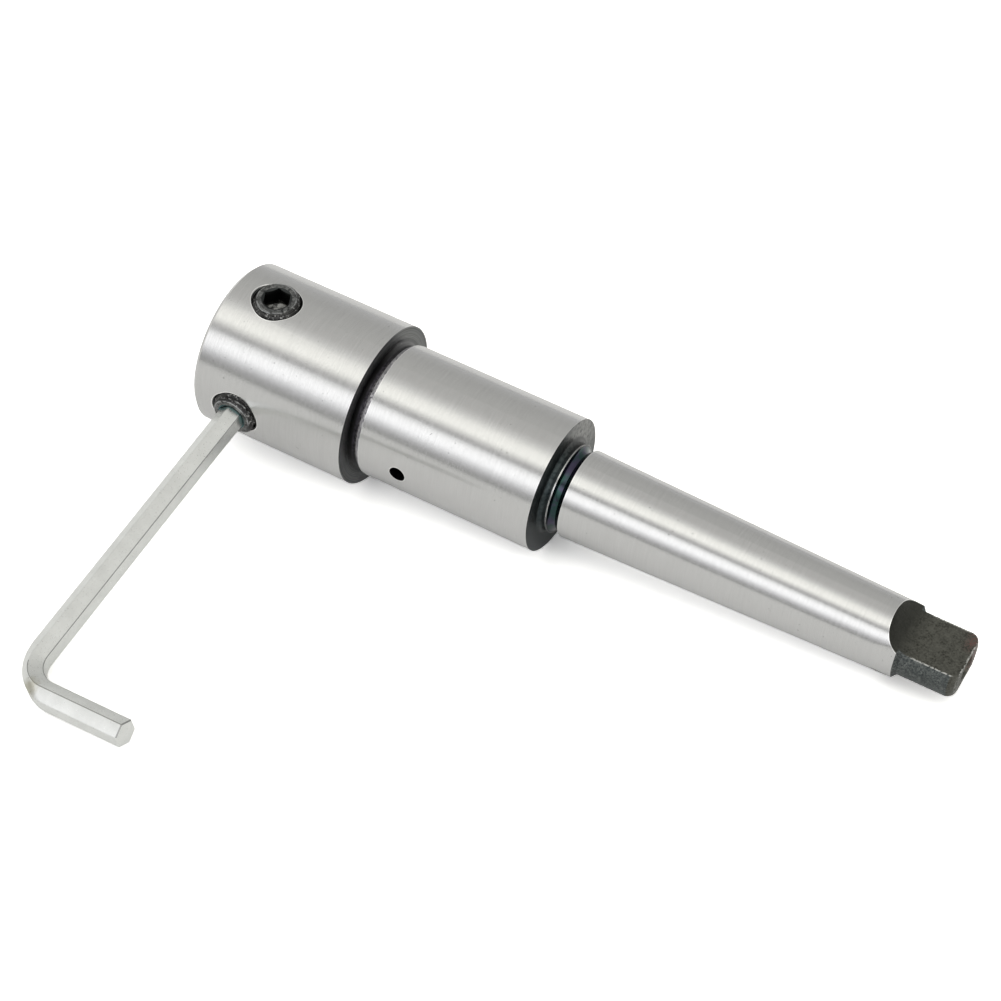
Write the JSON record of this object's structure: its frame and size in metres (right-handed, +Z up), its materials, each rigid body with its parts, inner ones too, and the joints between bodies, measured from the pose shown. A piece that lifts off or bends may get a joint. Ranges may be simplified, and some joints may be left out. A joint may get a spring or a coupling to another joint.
{
  "type": "annular cutter arbor",
  "caption": "Morse taper arbor whose bored head clamps an annular cutter with grub screws, holding a sprung ejector, its hex key standing in the side screw.",
  "frame": {"origin": "on the bore's axis where its wall starts, 0.8 mm behind the head's front face", "axes": "+X from the front face to the tang along the arbor, which slopes 4.2 degrees down to it as it lies; +Z up; the hex key points along -Y"},
  "size_m": [0.1585, 0.1076, 0.036],
  "materials": {
    "ground_steel": "ground bright on the working diameters, black oxide in the necks and on the tang",
    "black_screw": "black oxide",
    "plated_key": "satin plating",
    "inner_steel": "plain turned steel",
    "spring_steel": "drawn spring wire"
  },
  "bodies": {
    "arbor": {"arbor_body": "ground_steel", "retaining_ring": "spring_steel", "ejector_spring": "spring_steel"},
    "top_screw": {"top_grub_screw": "black_screw"},
    "side_screw": {"side_grub_screw": "black_screw", "hex_key": "plated_key"},
    "ejector": {"ejector_plunger": "inner_steel"}
  },
  "joints": [
    {"name": "top_screw_turn", "type": "hinge", "parent": "arbor", "child": "top_screw", "pos_m": [0.00898, 0, -0.00066], "axis": [0.0731, -0.1371, 0.9879], "range_deg": [-280, 1440]},
    {"name": "side_screw_turn", "type": "hinge", "parent": "arbor", "child": "side_screw", "pos_m": [0.00898, 0, -0.00066], "axis": [-0.0101, -0.9906, -0.1368], "range_deg": [-280, 1440]},
    {"name": "ejector_slide", "type": "slide", "parent": "arbor", "child": "ejector", "axis": [0.9973, 0, -0.0738], "range_m": [0, 0.025], "stiffness_N_per_m": 500, "springref_m": -0.01, "deforming": ["ejector_spring"]}
  ]
}
